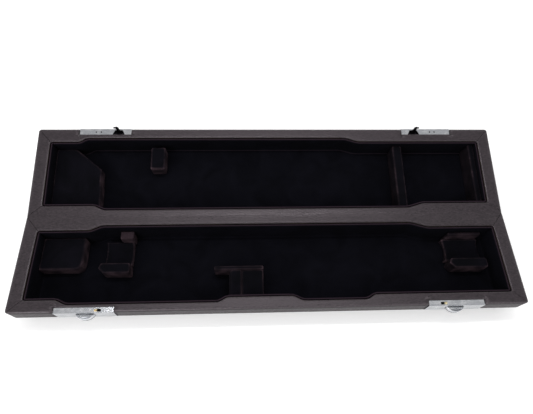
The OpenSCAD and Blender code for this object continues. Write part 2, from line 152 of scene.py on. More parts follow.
# %% The two halves
HALVES = {
    "base": {
        "place": in_base,
        "height": HINGE_Z,
        "floor": 24.0,
        "notch_v": CASE_W - 4.0,
        "rear": [(-INNER_L, 13.0), (-155.0, 13.0), (-145.5, 8.6), (124.5, 8.6), (138.8, 13.0),
                 (INNER_L, 13.0)],
        "front": [(-INNER_L, 73.0), (-172.9, 73.0), (-164.9, 77.0), (-44.4, 77.0), (-37.6, 73.0),
                  (15.8, 73.0), (23.7, 77.0), (77.1, 77.0), (83.2, 73.0), (INNER_L, 73.0)],
    },
    "lid": {
        "place": in_lid,
        "height": HINGE_EDGE_R + (HINGE_Z + HINGE_EDGE_R * (math.sin(LID_TILT) - 1)) / math.cos(LID_TILT),
        "floor": 23.0,
        "notch_v": CASE_W - 5.3,
        "rear": [(-INNER_L, 9.5), (-154.2, 9.5), (-145.8, 5.5), (124.9, 5.5), (138.4, 9.5), (INNER_L, 9.5)],
        "front": [(-INNER_L, 70.5), (-172.0, 70.5), (-166.9, 74.2), (72.1, 74.2), (83.8, 70.5),
                  (INNER_L, 70.5)],
    },
}


def rim_edge(corners, x, soften=1.6):
    """Distance of the rim's inner edge from the hinge line at x, its corners a little rounded."""
    xs, vs = zip(*corners)
    return float(np.mean([np.interp(x + d * soften, xs, vs) for d in np.linspace(-1, 1, 7)]))


print("heights of base and lid:", [round(half["height"], 2) for half in HALVES.values()])

# %% [markdown]
# ## Camera
#
# A camera can be aimed with a constraint or by its angles. Angles are used here,
# because a case seen almost from above shows every degree of tilt. It looks
# steeply down along the case's width, from just in front of it and a little to the
# left, through a moderate wide-angle lens.

# %% Camera
scene = bpy.context.scene
camera_data = bpy.data.cameras.new("camera")
camera_data.sensor_width = 36.0
camera_data.lens = 29.52
camera_data.clip_start = 0.01
camera = bpy.data.objects.new("camera", camera_data)
camera.rotation_mode = "ZYX"
camera.rotation_euler = (math.radians(26.73), math.radians(-2.89), math.radians(-0.50))
camera.location = (-23.2 * MM, (HINGE_Y - 167.4) * MM, (HINGE_Z + 346.9) * MM)
scene.collection.objects.link(camera)
scene.camera = camera
print("camera at", [round(c, 3) for c in camera.location])

# %% [markdown]
# ## Materials
#
# Colours are written as sRGB hex values, the way they are read off a colour chart,
# and turned to linear light by one function. Nodes could be made one call at a
# time, but the wiring would hide the recipe. So a second function adds one shader
# node with its settings and links, and every material below stays a short list.


# %% Colour and node helpers
def srgb(code):
    channels = [int(code[i : i + 2], 16) / 255 for i in (1, 3, 5)]
    linear = [c / 12.92 if c <= 0.04045 else ((c + 0.055) / 1.055) ** 2.4 for c in channels]
    return (*linear, 1.0)


def add_node(tree, kind, settings=None, links=None):
    """Adds a node. Settings are its properties, socket values or ramp stops, links are {socket: output}."""
    node = tree.nodes.new(kind)
    for name, value in (settings or {}).items():
        if name == "stops":
            first, *between, last = value
            marks = node.color_ramp.elements
            marks[0].position, marks[0].color = first
            marks[1].position, marks[1].color = last
            for position, colour in between:
                marks.new(position).color = colour
        elif isinstance(name, int) or name in node.inputs:
            node.inputs[name].default_value = value
        else:
            setattr(node, name, value)
    for name, source in (links or {}).items():
        tree.links.new(source, node.inputs[name])
    return node


def new_material(name, settings):
    """A material with a Principled shader, whose sockets are set from settings."""
    material = bpy.data.materials.new(name)
    material.use_nodes = True
    tree = material.node_tree
    shader = tree.nodes["Principled BSDF"]
    for socket, value in settings.items():
        shader.inputs[socket].default_value = value
    return material, tree, shader


def per_mm(size_mm):
    """Texture scale, in cells per metre, for a pattern of that size."""
    return 1.0 / (size_mm * MM)


print("black leatherette in linear light:", [round(c, 4) for c in srgb("#0f0c0e")])

# %% [markdown]
# ### Leatherette
#
# Leatherette is PVC film embossed with a calf grain on a cloth back. It has the
# gloss of soft plastic (IOR near 1.5) broken up by grain. The grain could be real
# displacement, but on flat film bump gives the same highlights for far less work.
# The real grain is about 0.5 mm, too fine to show from here, so it is drawn near
# 1 mm, with a slower mottling where the film was stretched over the wood. The
# attribute "wear" is 1 where handling has paled and polished the film;
# on the hinge strip it also carries painted highlight streaks.

# %% Leatherette
# pale colour of handled film, also used for the painted highlight streaks on the hinge strip
HANDLED_AND_HIGHLIGHT = "#454043"
POLISH = -0.2


def make_leatherette(name, low, high, roughness, grain_mm, relief_mm):
    material, tree, shader = new_material(
        name, {"IOR": 1.5, "Specular IOR Level": 0.42, "Specular Tint": srgb("#fff4fb")})
    place = add_node(tree, "ShaderNodeTexCoord").outputs["Object"]
    drawn_out = add_node(tree, "ShaderNodeMapping", {"Scale": (0.4, 1.0, 1.0)}, {"Vector": place})
    along = drawn_out.outputs["Vector"]
    mottle = add_node(tree, "ShaderNodeTexNoise", {"Scale": per_mm(14.0), "Detail": 5.0, "Roughness": 0.65},
                      {"Vector": place})
    grain = add_node(tree, "ShaderNodeTexVoronoi",
                     {"feature": "SMOOTH_F1", "Scale": per_mm(grain_mm), "Smoothness": 0.4,
                      "Randomness": 1.0},
                     {"Vector": along})
    lines = add_node(tree, "ShaderNodeTexNoise",
                     {"Scale": per_mm(grain_mm), "Detail": 4.0, "Roughness": 0.7}, {"Vector": along})
    wear = add_node(tree, "ShaderNodeAttribute", {"attribute_name": "wear"})
    tint = add_node(tree, "ShaderNodeValToRGB", {"stops": [(0.35, srgb(low)), (0.65, srgb(high))]},
                    {"Fac": lines.outputs["Fac"]})
    paler = add_node(tree, "ShaderNodeMix", {"data_type": "RGBA", "B": srgb(HANDLED_AND_HIGHLIGHT)},
                     {"Factor": wear.outputs["Fac"], "A": tint.outputs["Color"]})
    tree.links.new(paler.outputs["Result"], shader.inputs["Base Color"])
    gloss = add_node(tree, "ShaderNodeMapRange",
                     {"From Min": 0.35, "From Max": 0.65, "To Min": roughness - 0.10,
                      "To Max": roughness + 0.12},
                     {"Value": lines.outputs["Fac"]})
    polished = add_node(tree, "ShaderNodeMath", {"operation": "MULTIPLY_ADD", 1: POLISH},
                        {0: wear.outputs["Fac"], 2: gloss.outputs["Result"]})
    tree.links.new(polished.outputs["Value"], shader.inputs["Roughness"])
    stretched = add_node(tree, "ShaderNodeBump", {"Strength": 0.25, "Distance": relief_mm * 2 * MM},
                         {"Height": mottle.outputs["Fac"]})
    pebbles = add_node(tree, "ShaderNodeBump", {"Strength": 0.6, "Distance": relief_mm * MM},
                       {"Height": grain.outputs["Distance"], "Normal": stretched.outputs["Normal"]})
    drawn = add_node(tree, "ShaderNodeBump", {"Strength": 0.8, "Distance": relief_mm * 1.6 * MM},
                     {"Height": lines.outputs["Fac"], "Normal": pebbles.outputs["Normal"]})
    tree.links.new(drawn.outputs["Normal"], shader.inputs["Normal"])
    return material


rim_leatherette = make_leatherette("rim_leatherette", "#0f0c0e", "#30292d", 0.39, 0.9, 0.12)
cover_leatherette = make_leatherette("cover_leatherette", "#120f11", "#2c2629", 0.50, 1.0, 0.14)
print("made", rim_leatherette.name, "and", cover_leatherette.name)

# %% [markdown]
# ### Plush
#
# The lining is short cotton plush, black with a plum cast. Hair particles could
# draw its pile, but a pile under a millimetre only shows as softness, and a shader
# gives that. A pile swallows light that comes straight down and scatters it at the
# rim of a shape, which the sheen lobe does. Brushed patches in the pile are a slow
# noise, and the pile itself is a fine one, drawn at 0.8 mm.


# %% Plush
def make_plush(name, deep, brushed, rubbed_and_sheen, sheen_tint, sheen):
    material, tree, shader = new_material(
        name,
        {"Roughness": 0.95, "Specular IOR Level": 0.05, "Sheen Weight": sheen, "Sheen Roughness": 0.35,
         "Sheen Tint": srgb(sheen_tint)})
    place = add_node(tree, "ShaderNodeTexCoord").outputs["Object"]
    brushing = add_node(tree, "ShaderNodeTexNoise",
                        {"Scale": per_mm(22.0), "Detail": 3.0, "Distortion": 0.8}, {"Vector": place})
    pile = add_node(tree, "ShaderNodeTexNoise", {"Scale": per_mm(0.8), "Detail": 5.0, "Roughness": 0.7},
                    {"Vector": place})
    tint = add_node(tree, "ShaderNodeValToRGB", {"stops": [(0.35, srgb(deep)), (0.7, srgb(brushed))]},
                    {"Fac": brushing.outputs["Fac"]})
    wear = add_node(tree, "ShaderNodeAttribute", {"attribute_name": "wear"})
    patchy = add_node(tree, "ShaderNodeMath", {"operation": "MULTIPLY"},
                      {0: wear.outputs["Fac"], 1: pile.outputs["Fac"]})
    # the paler plum is rubbed pile and painted sheen, on edges and on sides turned to the light
    edged = add_node(tree, "ShaderNodeMix", {"data_type": "RGBA", "B": srgb(rubbed_and_sheen)},
                     {"Factor": patchy.outputs["Value"], "A": tint.outputs["Color"]})
    tree.links.new(edged.outputs["Result"], shader.inputs["Base Color"])
    laid = add_node(tree, "ShaderNodeBump", {"Strength": 0.25, "Distance": 0.8 * MM},
                    {"Height": brushing.outputs["Fac"]})
    nap = add_node(tree, "ShaderNodeBump", {"Strength": 0.6, "Distance": 0.35 * MM},
                   {"Height": pile.outputs["Fac"], "Normal": laid.outputs["Normal"]})
    tree.links.new(nap.outputs["Normal"], shader.inputs["Normal"])
    return material


# the third colour is the paler plum of rubbed pile and painted sheen
tray_plush = make_plush("tray_plush", "#050509", "#09090f", "#45363f", "#5c4a5c", 0.02)
block_plush = make_plush("block_plush", "#050508", "#0a090f", "#6c575f", "#6b4f60", 0.02)
print("made", tray_plush.name, "and", block_plush.name)

# %% [markdown]
# ### Metals
#
# The latches are stamped brass plated with nickel and polished: a warm silver with
# soft scratches along the case. The bolts are plain brass. The hooks are blued
# steel, nearly black. Scratches could come from an anisotropic shader, but a noise
# stretched along the case does the same and also dulls the plating in streaks.
# Metals keep the default IOR, and the colour does the work.


# %% Plated, brass and blued metals
def make_metal(name, polished, dulled, roughness, scratch_mm, relief_mm):
    material, tree, shader = new_material(name, {"Metallic": 1.0})
    place = add_node(tree, "ShaderNodeTexCoord").outputs["Object"]
    stretched = add_node(tree, "ShaderNodeMapping", {"Scale": (0.05, 1.0, 1.0)}, {"Vector": place})
    scratches = add_node(tree, "ShaderNodeTexNoise", {"Scale": per_mm(scratch_mm), "Detail": 3.0},
                         {"Vector": stretched.outputs["Vector"]})
    clouds = add_node(tree, "ShaderNodeTexNoise", {"Scale": per_mm(6.0), "Detail": 2.0}, {"Vector": place})
    both = add_node(tree, "ShaderNodeMath", {"operation": "ADD"},
                    {0: scratches.outputs["Fac"], 1: clouds.outputs["Fac"]})
    tint = add_node(tree, "ShaderNodeValToRGB", {"stops": [(0.80, srgb(polished)), (1.0, srgb(dulled))]},
                    {"Fac": both.outputs["Value"]})
    tree.links.new(tint.outputs["Color"], shader.inputs["Base Color"])
    gloss = add_node(tree, "ShaderNodeMapRange",
                     {"From Min": 0.3, "From Max": 0.75, "To Min": roughness, "To Max": roughness + 0.14},
                     {"Value": scratches.outputs["Fac"]})
    tree.links.new(gloss.outputs["Result"], shader.inputs["Roughness"])
    fine = add_node(tree, "ShaderNodeBump", {"Strength": 0.25, "Distance": relief_mm * MM},
                    {"Height": scratches.outputs["Fac"]})
    tree.links.new(fine.outputs["Normal"], shader.inputs["Normal"])
    return material


nickel = make_metal("nickel_plate", "#d3d4d6", "#b4b6ba", 0.16, 0.6, 0.015)
brass = make_metal("stamped_brass", "#e6dab4", "#c0a878", 0.28, 0.5, 0.03)
blued_steel = make_metal("blued_steel", "#2c2a2e", "#1c1a1e", 0.34, 0.6, 0.04)
print("made", nickel.name, brass.name, "and", blued_steel.name)

# %% [markdown]
# ### Wood
#
# The frame is thin plywood and softwood, stained dark so that no pale line shows
# between lining and rim. It is almost all hidden, so a full set of growth rings
# would be wasted: a wave texture bent by noise and stretched along the case is
# enough for the narrow strips that can be seen.


# %% Stained wood
def make_wood():
    material, tree, shader = new_material("stained_wood", {"Roughness": 0.75, "Specular IOR Level": 0.2})
    place = add_node(tree, "ShaderNodeTexCoord").outputs["Object"]
    along = add_node(tree, "ShaderNodeMapping", {"Scale": (0.08, 1.0, 1.0)}, {"Vector": place})
    rings = add_node(tree, "ShaderNodeTexWave",
                     {"Scale": per_mm(9.0), "Distortion": 5.0, "Detail": 3.0, "Detail Scale": 1.5},
                     {"Vector": along.outputs["Vector"]})
    tint = add_node(tree, "ShaderNodeValToRGB", {"stops": [(0.2, srgb("#17120f")), (0.8, srgb("#261d16"))]},
                    {"Fac": rings.outputs["Fac"]})
    tree.links.new(tint.outputs["Color"], shader.inputs["Base Color"])
    bump = add_node(tree, "ShaderNodeBump", {"Strength": 0.3, "Distance": 0.15 * MM},
                    {"Height": rings.outputs["Fac"]})
    tree.links.new(bump.outputs["Normal"], shader.inputs["Normal"])
    return material


stained_wood = make_wood()
print("materials:", [m.name for m in bpy.data.materials if m.use_nodes])

# %% [markdown]
# ## From points to pieces
#
# Film can be a flat sheet that is wrapped by modifiers, or rows of points laid
# where the film ends up. Rows are used here, because the covering has to follow
# the CAD's outlines closely. A few helpers turn rows into a mesh, weld it, and
# make it a piece that rides on its half and stands for its CAD nodes.


# %% Mesh helpers
WELD = 0.02 * MM


def put_piece(name, mesh, material, body, stands_for=()):
    piece = bpy.data.objects.new(name, mesh)
    scene.collection.objects.link(piece)
    mesh.materials.append(material)
    if body:
        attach(piece, body)
    if stands_for:
        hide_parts(*stands_for)
    return piece


def smooth(mesh):
    mesh.polygons.foreach_set("use_smooth", [True] * len(mesh.polygons))


# this attribute holds real wear, painted sheen on the plush and painted highlight on the hinge strip
def add_wear_and_sheen(mesh, values):
    mesh.attributes.new("wear", "FLOAT", "POINT").data.foreach_set("value", values)


def film_mesh(name, rows, flip, wear=None, rim_columns=0):
    """A sheet from rows of points, all rows the same length. Flip turns its outside over.

    The first columns, up to rim_columns, get the piece's second material."""
    count = len(rows[0])
    faces, finishes = [], []
    for i in range(len(rows) - 1):
        for k in range(count - 1):
            a, b = i * count + k, (i + 1) * count + k
            quad = (a, b, b + 1, a + 1)
            faces.append(quad[::-1] if flip else quad)
            finishes.append(1 if k < rim_columns - 1 else 0)
    mesh = bpy.data.meshes.new(name)
    mesh.from_pydata([p for row in rows for p in row], [], faces)
    mesh.polygons.foreach_set("material_index", finishes)
    if wear:
        add_wear_and_sheen(mesh, [w for row in wear for w in row])
    build = bmesh.new()
    build.from_mesh(mesh)
    bmesh.ops.remove_doubles(build, verts=build.verts, dist=WELD)
    bmesh.ops.dissolve_degenerate(build, edges=build.edges, dist=WELD)
    build.to_mesh(mesh)
    build.free()
    smooth(mesh)
    return mesh


def thicken(piece):
    """Gives a film its thickness, towards the wood."""
    solid = piece.modifiers.new("thickness", "SOLIDIFY")
    solid.thickness = SKIN * MM
    solid.offset = -1.0


print("film is", SKIN, "mm thick")

# %% [markdown]
# ## The covering
#
# Each side of a tray is one piece of film. It starts down inside the tray, rolls
# over the rim's inner edge, lies flat on the rim, rolls over the outer edge, drops
# down the wall and runs round the rounded bottom edge. A bevelled box with a
# thickness would give the same outline but no seams. Laying each side by itself
# leaves mitres at the corners, where the film dips a little, as on a real case.
#
# First come two points for any place along a side: one on the outside, and the
# one on the rim's inner edge that belongs to it. They lie straight across from
# each other, except near the corners, where they fan out to the mitre.

# %% Covering: points of one side
FAN_FROM = HALF_L - 32.0


def half_length(side):
    return HALF_L if side in ("front", "rear") else CASE_W / 2


def bottom_inset(height, z, radius):
    """How far the wall has curved in at height z, round the bottom edge."""
    below = max(0.0, -(height - radius) - z)
    return radius - math.sqrt(max(0.0, radius**2 - below**2))


def round_corner(x, v, half_x, v_high, v_low, radius, low_radius):
    """Moves a point of a square outline onto the outline with rounded corners."""
    side = 1 if x > 0 else -1
    for v_edge, out, r in ((v_high, 1, radius), (v_low, -1, low_radius)):
        along = abs(x) - (half_x - r)
        across = (v - v_edge) * out + r
        if along > 0 and across > 0:
            turn = math.radians(45) * (along / r if across >= r - 1e-6 else 2 - across / r)
            return (side * (half_x - r + r * math.sin(turn)), v_edge - out * (r - r * math.cos(turn)))
    return x, v


def fan(x, shortening):
    """Draws x in near the mitres, by the full shortening at the case's end."""
    beyond = max(0.0, abs(x) - FAN_FROM)
    return math.copysign(abs(x) - beyond * shortening / (HALF_L - FAN_FROM), x)


def outer_point(half, side, t, z):
    """Point of the outside at height z: t runs from -1 to 1 along the side."""
    set_back = 0.0 if z > GROOVE_TOP else GROOVE_DEPTH if z > GROOVE_BOTTOM else WALL_SET_BACK
    inset = bottom_inset(half["height"], z, EDGE_R) + set_back
    v_high = CASE_W - inset
    v_low = bottom_inset(half["height"], z, HINGE_EDGE_R) + set_back
    reach = HALF_L - inset
    if side in ("front", "rear"):
        x, v = fan(t * HALF_L, inset), v_high if side == "front" else v_low
    else:
        x, v = (reach if side == "right" else -reach), v_low + (v_high - v_low) * (t + 1) / 2
    return round_corner(x, v, reach, v_high, v_low, CORNER_R, 0.5)


def inner_point(half, side, t):
    """Point of the rim's inner edge for the same t."""
    v_low, v_high = half["rear"][0][1], half["front"][0][1]
    if side in ("front", "rear"):
        x = fan(t * HALF_L, END_RIM)
        v = rim_edge(half[side], x)
    else:
        x = INNER_L if side == "right" else -INNER_L
        v = v_low + (v_high - v_low) * (t + 1) / 2
    return round_corner(x, v, INNER_L, v_high, v_low, INNER_CORNER_R, INNER_CORNER_R)


rim_middle = [inner_point(HALVES["base"], side, 0.0)[1] for side in ("rear", "front")]
print("at its middle the base's rim runs from v", rim_middle[0], "to the hinge, and from", rim_middle[1])

# %% [markdown]
# Next, where the rows stand. They are close together at the corners, where the
# outline turns, and 3 mm apart elsewhere. The front steps back behind each latch:
# both ends of that notch get two rows at one place, and the wall between them is
# the notch's end. A boolean could cut the notch, but it would leave ragged faces.

# %% Covering: stations along a side
CORNER_STEPS = (0.08, 0.35, 0.8, 1.4, 2.0, 2.6, 3.6)
STATION_STEP = 3.0
NOTCH_STATIONS = 17


def side_stations(side):
    """Places along a side as (t, whether in a notch)."""
    length = half_length(side)
    marks = [length - d for d in CORNER_STEPS] + list(np.arange(0.0, length - 5.0, STATION_STEP))
    stations = [(m / length, 0, False) for m in {*marks, *[-m for m in marks]}]
    if side == "front":
        stations = [s for s in stations if not LATCH_FROM - 0.5 < abs(s[0] * length) < LATCH_TO + 0.5]
        for start, end in ((-LATCH_TO, -LATCH_FROM), (LATCH_FROM, LATCH_TO)):
            stations.append((start / length, 0, False))
            stations += [(x / length, 1, True) for x in np.linspace(start, end, NOTCH_STATIONS)]
            stations.append((end / length, 2, False))
    return [(t, in_notch) for t, _, in_notch in sorted(stations)]


print("rows along the front:", len(side_stations("front")))

# %% [markdown]
# Then the section. The two rolls are curves given as (distance from the edge,
# height). The wear that the material shows is laid down with the points: strongest
# along the outer edge, where hands and the other half rub it.

# %% Covering: section of one side
INNER_ROLL = ((0.0, -3.0), (0.0, -1.6), (0.04, -0.95), (0.22, -0.5), (0.6, -0.24), (1.2, -0.13))
OUTER_ROLL = ((1.7, -0.14), (0.9, -0.24), (0.35, -0.5), (0.06, -0.85))
NOTCH_ROLL = 0.45
RIM_STEPS = (0.2, 0.4, 0.6, 0.8)
SEAM_DIP = 0.3
INWARD = {"front": (0, -1), "rear": (0, 1), "left": (1, 0), "right": (-1, 0)}
SPINE_TUCKS = {0: 0.5, 1: 0.15}


def rim_row(half, side, t, in_notch, sink):
    """Points and wear from inside the tray, over the rim, to its outer edge."""
    ix, iv = inner_point(half, side, t)
    ox, ov = outer_point(half, side, t, 0.0)
    if in_notch:
        ov = half["notch_v"]
    width = math.hypot(ox - ix, ov - iv)
    ux, uv = (ox - ix) / width, (ov - iv) / width
    roll = NOTCH_ROLL if in_notch else 1.0
    row = [(ix + ux * d, iv + uv * d, z - sink) for d, z in INNER_ROLL]
    wear = [0.35 if -0.6 < z < -0.15 else 0.0 for _, z in INNER_ROLL]
    start, end = INNER_ROLL[-1][0], width - OUTER_ROLL[0][0] * roll
    for q in RIM_STEPS:
        d = start + (end - start) * q
        x, v = ix + ux * d, iv + uv * d
        swell = 0.06 * noise.noise(Vector((x * 0.11, v * 0.3, half["height"])))
        row.append((x, v, RIM_Z + 0.03 + min(0.05, swell) - sink))
        wear.append(0.0)
    for d, z in OUTER_ROLL:
        back = width - d * roll
        row.append((ix + ux * back, iv + uv * back, z * roll + RIM_Z * (1 - roll) - sink))
        wear.append(0.9 if -0.7 < z < -0.2 and not in_notch else 0.2)
    return row, wear


def edge_arc(height, radius, degrees):
    """Heights of points on a rounded bottom edge."""
    return [-(height - radius) - radius * math.sin(math.radians(a)) for a in degrees]


def wall_heights(half, side):
    """Heights of the rows down the wall, and of those below the notches."""
    h = half["height"]
    walls = [-1.1, -1.14, -2.2, -2.5, -5.0, -8.5, -11.5, -NOTCH_DEPTH]
    arc = edge_arc(h, EDGE_R, (8, 18, 28, 38, 48, 58, 68, 78, 86))
    below = [z for z in (-NOTCH_DEPTH - 0.05, -(h - EDGE_R), *arc, -h + 0.01) if z < -NOTCH_DEPTH - 0.02]
    if side == "rear":
        walls = [-0.62, -0.8] + walls
        below = sorted({*below, *edge_arc(h, HINGE_EDGE_R, (12, 26, 40, 54, 68, 82))}, reverse=True)
    return walls, below


def side_rows(half, side):
    """Rows of points for one side of the covering, with the wear of each point."""
    walls, below = wall_heights(half, side)
    tucks = SPINE_TUCKS if side == "rear" else {}
    worn_below = -(half["height"] - EDGE_R) - 4
    rows, wear_and_sheen_rows = [], []
    for t, in_notch in side_stations(side):
        to_corner = (1 - abs(t)) * half_length(side)
        sink = SEAM_DIP * max(0.0, 1 - to_corner / 0.8) ** 1.5
        row, wear = ([], []) if side == "rear" else rim_row(half, side, t, in_notch, sink)
        for k, z in enumerate(walls + below):
            x, v = outer_point(half, side, t, z)
            if in_notch and k < len(walls):
                v = half["notch_v"]
            inwards = sink + tucks.get(k, 0.0)
            row.append((x + INWARD[side][0] * inwards, v + INWARD[side][1] * inwards, z))
            wear.append(0.25 if z < worn_below else 0.0)
        rows.append(row)
        wear_and_sheen_rows.append(wear)
    return rows, wear_and_sheen_rows


print("points across the front:", len(side_rows(HALVES["base"], "front")[0][0]))

# %% [markdown]
# Last, the eight sides are laid. The spine behind the hinge has no rim of its own,
# because the hinge strip covers it. On the other sides the columns on the rim take
# the glossier rim leatherette.


# %% Covering: lay every side
def cover_side(half_name, side, stands_for):
    half = HALVES[half_name]
    rows, wear_and_sheen_rows = side_rows(half, side)
    placed = [[half["place"](*p) for p in row] for row in rows]
    flip = (side in ("front", "left")) == (half_name == "base")
    rim_columns = len(INNER_ROLL) + len(RIM_STEPS) + len(OUTER_ROLL) if side != "rear" else 0
    mesh = film_mesh(f"{half_name}_covering_{side}", placed, flip, wear_and_sheen_rows, rim_columns)
    piece = put_piece(mesh.name, mesh, cover_leatherette, half_name, stands_for)
    mesh.materials.append(rim_leatherette)
    thicken(piece)


for half_name in HALVES:
    for side in ("front", "left", "right"):
        cover_side(half_name, side, (f"{half_name}_cover_{side}", f"{half_name}_rim_{side}"))
    cover_side(half_name, "rear", (f"{half_name}_cover_spine",))

# %% [markdown]
# The flat of each tray's bottom is one sheet, laid last, that covers the raw edges
# of the four sides. Its edge is pressed down, so a faint line shows round it. One
# plain face would hide that line, so the sheet has narrow rows along its edges.

# %% Covering: bottom sheets
SHEET_COLUMNS = (0.0, 0.004, 0.01, 0.03, 0.2, 0.4, 0.6, 0.8, 0.97, 0.99, 0.996, 1.0)
SHEET_ENDS = (0.994, 0.997, 0.9985, 1)
PRESSED = 0.12


def bottom_sheet(half_name, node):
    half = HALVES[half_name]
    reach, low, high = HALF_L - EDGE_R, HINGE_EDGE_R, CASE_W - EDGE_R
    rows = []
    for m in (*[-m for m in reversed(SHEET_ENDS)], *np.linspace(-0.97, 0.97, 41), *SHEET_ENDS):
        row = []
        for v in [low + (high - low) * q for q in SHEET_COLUMNS]:
            to_edge = min((1 - abs(m)) * reach, v - low, high - v)
            pressed = PRESSED * max(0.0, 1 - to_edge / 0.5)
            row.append(half["place"](m * reach, v, -half["height"] + 0.02 + pressed))
        rows.append(row)
    mesh = film_mesh(f"{half_name}_covering_bottom", rows, half_name == "lid")
    piece = put_piece(mesh.name, mesh, cover_leatherette, half_name, (node,))
    thicken(piece)
    print(mesh.name, "is", round(2 * reach), "by", round(high - low), "mm")


bottom_sheet("base", "base_cover_bottom")
bottom_sheet("lid", "lid_cover_top")

# %% [markdown]
# ## The leatherette hinge
#
# One long strip bridges both rims and is the hinge. It starts inside the base,
# crosses both rims and ends inside the lid. Where it folds, years of opening have
# left fine creases along the case, and its ends pucker. Cloth simulation could fold
# it, but the bend is only a few millimetres, so the strip is drawn open and blended
# across the joint: points near the hinge line follow both halves.

# %% Hinge strip
HINGE_CORNER_STEPS = (0.1, 0.4, 0.9, 1.6, 2.4, 3.4, 4.6)
HINGE_STATION_STEP = 2.0
BEND = 3.0


def crease(x, v):
    """Depth of the fine lengthwise creases near the fold and of the puckers at the ends."""
    near = math.exp(-((v / 4.5) ** 2))
    lines = noise.noise(Vector((x * 0.02, v * 1.3, 3.0)))
    lines += 0.5 * noise.noise(Vector((x * 0.05, v * 2.9, 9.0)))
    pucker = math.exp(-(((HALF_L - abs(x)) / 7.0) ** 2)) * math.exp(-((v / 7.0) ** 2))
    folds = noise.noise(Vector((x * 0.45, v * 0.8, 5.0)))
    return -0.10 * near * abs(lines) - 0.5 * pucker * abs(folds)


def strip_half(half, t):
    """Points from the inner lip to the fold on one half of the strip."""
    ix, iv = inner_point(half, "rear", t)
    ox = t * (HALF_L - 0.05)
    points = [(ix + (ox - ix) * d / iv, iv - d, z) for d, z in INNER_ROLL]
    start = INNER_ROLL[-1][0] / iv
    for q in (*np.linspace(0.05, 0.6, 8), *np.linspace(0.65, 0.985, 14)):
        along = start + (1 - start) * q
        x, v = ix + (ox - ix) * along, iv * (1 - along)
        points.append((x, v, RIM_Z + 0.06 + crease(x, v)))
    return points


def strip_wear_and_highlight(x, column, middle):
    """Pale streaks along the fold: wear, and a painted highlight strongest at the middle of the case."""
    streak = 1.6 * noise.noise(Vector((x * 0.025, column * 0.9, 2.0))) + 0.25
    to_fold, to_middle = (column - middle) / 14.0, x / 120
    return min(1.0, max(0.0, streak)) * math.exp(-(to_fold**2)) * math.exp(-(to_middle**4))


def hinge_strip():
    marks = [HALF_L - d for d in HINGE_CORNER_STEPS] + list(np.arange(0.0, HALF_L - 6.0, HINGE_STATION_STEP))
    rows, wear_and_sheen_rows = [], []
    for m in sorted({*marks, *[-m for m in marks]}):
        t = m / HALF_L
        sink = SEAM_DIP * max(0.0, 1 - (HALF_L - abs(m)) / 0.8) ** 1.5
        row = [in_base(x, v, z - sink) for x, v, z in strip_half(HALVES["base"], t)]
        row.append(in_base(m, 0.0, -0.06 - sink))
        row += [in_lid(x, v, z - sink) for x, v, z in reversed(strip_half(HALVES["lid"], t))]
        rows.append(row)
        # painted highlight: pale streaks by the fold, strongest at the middle of the case
        wear_and_sheen_rows.append([strip_wear_and_highlight(m, i, (len(row) - 1) / 2) for i in range(len(row))])
    mesh = film_mesh("leatherette_hinge", rows, False, wear_and_sheen_rows)
    piece = put_piece(mesh.name, mesh, rim_leatherette, None,
                      ("base_hinge_strip", "lid_hinge_strip"))
    thicken(piece)
    fold = Vector(in_base(0, 0, 0))
    across = Vector((0, BEND * MM, 0))
    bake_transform(piece, "base", "lid", start=fold - across, end=fold + across)
    print("hinge strip:", len(rows), "rows of", len(rows[0]), "points, bends over", 2 * BEND, "mm")


hinge_strip()

# %% [markdown]
# ## Plush tray linings
#
# The lining is plush glued over thin card. It stands a little clear of the rim, so
# its upper edge shows as a soft line with a dark gap beside it. Inside, it turns
# into the floor with a small fillet. It could be the CAD's lining with a bevel, but
# that would stay as sharp and even as card. Here a section of (inset from the rim's
# edge, height) is swept round the tray instead, with a slow unevenness, and walls
# and floor come out as one piece. First the ring that the section follows.

# %% Linings: rings round a tray
RING_STEP = 3.0
RING_CORNER_STEPS = (0.3, 0.9, 1.5, 2.1, 2.7)


def ring_points(half, inset):
    """The rim's inner outline moved inwards, as a closed ring of (x, v)."""
    ring = []
    for side, direction in (("rear", 1), ("right", 1), ("front", -1), ("left", -1)):
        length = INNER_L if side in ("rear", "front") else CASE_W / 2
        ends = [length - d for d in RING_CORNER_STEPS]
        marks = sorted({*np.arange(-length + 3, length - 3, RING_STEP), *ends, *[-e for e in ends]})
        ring += [inner_point(half, side, m / length) for m in marks[::direction]]
    ring = np.array(ring)
    tangent = np.roll(ring, -1, axis=0) - np.roll(ring, 1, axis=0)
    tangent /= np.linalg.norm(tangent, axis=1)[:, None]
    moved = ring + inset * np.stack([-tangent[:, 1], tangent[:, 0]], axis=1)
    # past the corner's own radius the ring would cross itself, so it is held inside a square corner
    at_end = np.abs(ring[:, 0]) > INNER_L - 15
    moved[:, 0] = np.clip(moved[:, 0], inset - INNER_L, INNER_L - inset)
    held = np.clip(moved[:, 1], half["rear"][0][1] + inset, half["front"][0][1] - inset)
    moved[:, 1] = np.where(at_end, held, moved[:, 1])
    return moved


print("points round the base:", len(ring_points(HALVES["base"], 0.0)))

# %% [markdown]
# The floor needs care. One large face with hundreds of corners shades in stripes,
# so the floor runs in to a line along the middle of the tray instead, and the two
# sides are welded there. The fold at the wall's top and, in the lid, the crease at
# the floor are painted a paler plum, partly rubbed pile and partly painted sheen,
# which the wear attribute carries.

# %% Linings: section and sweep
LINING_DROP = 0.9
LINING_GAP = 0.6
LINING_T = 1.4
FLOOR_LINE = INNER_L - 32.0


